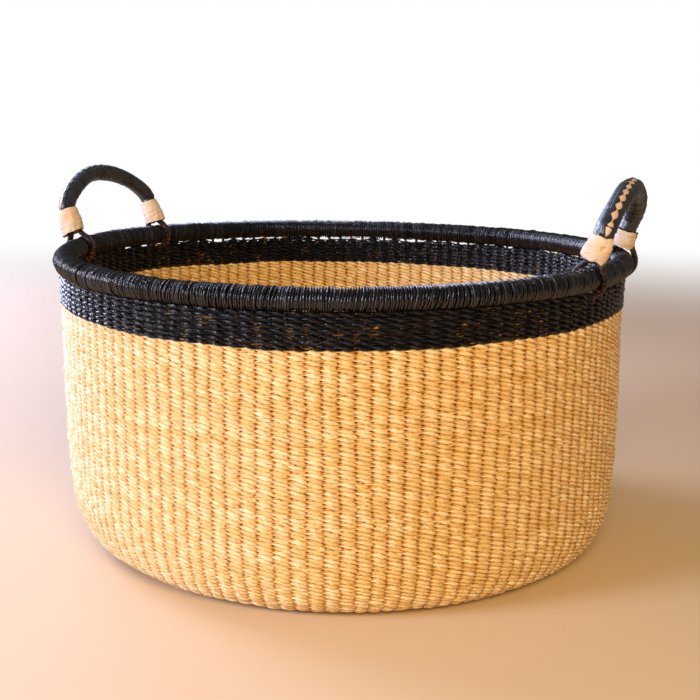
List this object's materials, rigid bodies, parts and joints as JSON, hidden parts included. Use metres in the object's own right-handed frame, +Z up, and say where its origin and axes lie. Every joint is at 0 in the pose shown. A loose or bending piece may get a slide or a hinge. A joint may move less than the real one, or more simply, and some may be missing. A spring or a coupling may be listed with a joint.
{
  "type": "hamper basket",
  "caption": "Round open basket of twined grass with a dark band, a wound rim roll and two leather-sleeved handles that swing on the rim.",
  "frame": {"origin": "middle of the base, on the surface that the basket stands on", "axes": "+Z up, +X towards the right handle, -X towards the left handle"},
  "size_m": [0.5221, 0.499, 0.3205],
  "materials": {
    "straw_weave": "twined natural grass, dry and slightly glossy",
    "black_weave": "twined grass dyed black, with brown flecks",
    "black_winding": "close winding of black-dyed grass",
    "grass_rope": "bundled natural grass",
    "tie_cord": "twisted black-dyed grass cord with natural grass edges",
    "black_leather": "thin black leather, creased, half glossy",
    "natural_leather": "undyed goat or sheep leather, matt"
  },
  "bodies": {
    "basket": {"base_mat": "straw_weave", "straw_wall": "straw_weave", "black_band": "black_weave", "rim_bundle": "grass_rope", "rim_winding": "black_winding"},
    "right_handle": {"right_handle_rope": "grass_rope", "right_handle_sleeve": "black_leather", "right_handle_lacing": "natural_leather", "right_cuff_a": "natural_leather", "right_cuff_b": "natural_leather", "right_tie_a": "tie_cord", "right_tie_b": "tie_cord"},
    "left_handle": {"left_handle_rope": "grass_rope", "left_handle_sleeve": "black_leather", "left_handle_lacing": "natural_leather", "left_cuff_a": "natural_leather", "left_cuff_b": "natural_leather", "left_tie_a": "tie_cord", "left_tie_b": "tie_cord"}
  },
  "joints": [
    {"name": "right_handle_swing", "type": "hinge", "parent": "basket", "child": "right_handle", "pos_m": [0.23153, 0, 0.24526], "axis": [0, 1, 0], "range_deg": [-70.5, 59.5]},
    {"name": "left_handle_swing", "type": "hinge", "parent": "basket", "child": "left_handle", "pos_m": [-0.23153, 0, 0.24526], "axis": [0, -1, 0], "range_deg": [-76, 54]}
  ]
}
